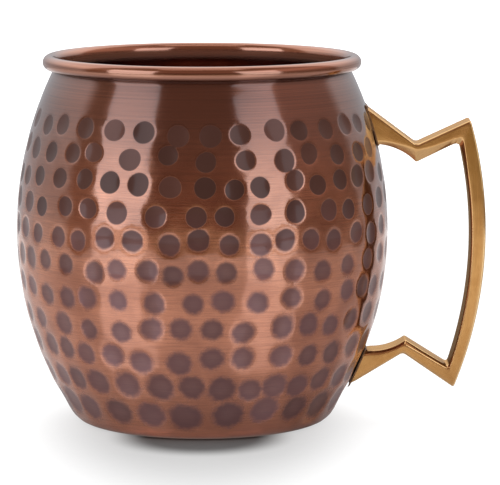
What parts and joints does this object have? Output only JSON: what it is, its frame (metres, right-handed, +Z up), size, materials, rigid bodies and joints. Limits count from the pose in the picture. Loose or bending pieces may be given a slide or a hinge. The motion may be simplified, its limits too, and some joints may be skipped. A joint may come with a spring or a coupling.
{
  "type": "hammered copper mug",
  "caption": "Barrel-shaped hammered copper drinking mug with a rolled rim and a kinked cast brass handle brazed to one side.",
  "frame": {"origin": "centre of the standing ring, on the surface that the mug stands on", "axes": "+Z up along the cup's axis; the handle points along +X and lies in the XZ plane; Y runs across the handle's width"},
  "size_m": [0.116, 0.092, 0.091],
  "materials": {
    "copper_sheet": "antique copper: dark patina in the hammer marks, brushed bright on the ridges between them, satin, clear",
    "copper_wire": "bare drawn copper wire",
    "handle_brass": "satin cast brass, lightly darkened",
    "braze": "dull darkened brazing filler"
  },
  "bodies": {
    "root": {"body_shell": "copper_sheet", "rim_wire": "copper_wire", "handle": "handle_brass", "upper_braze": "braze", "lower_braze": "braze"}
  },
  "joints": []
}
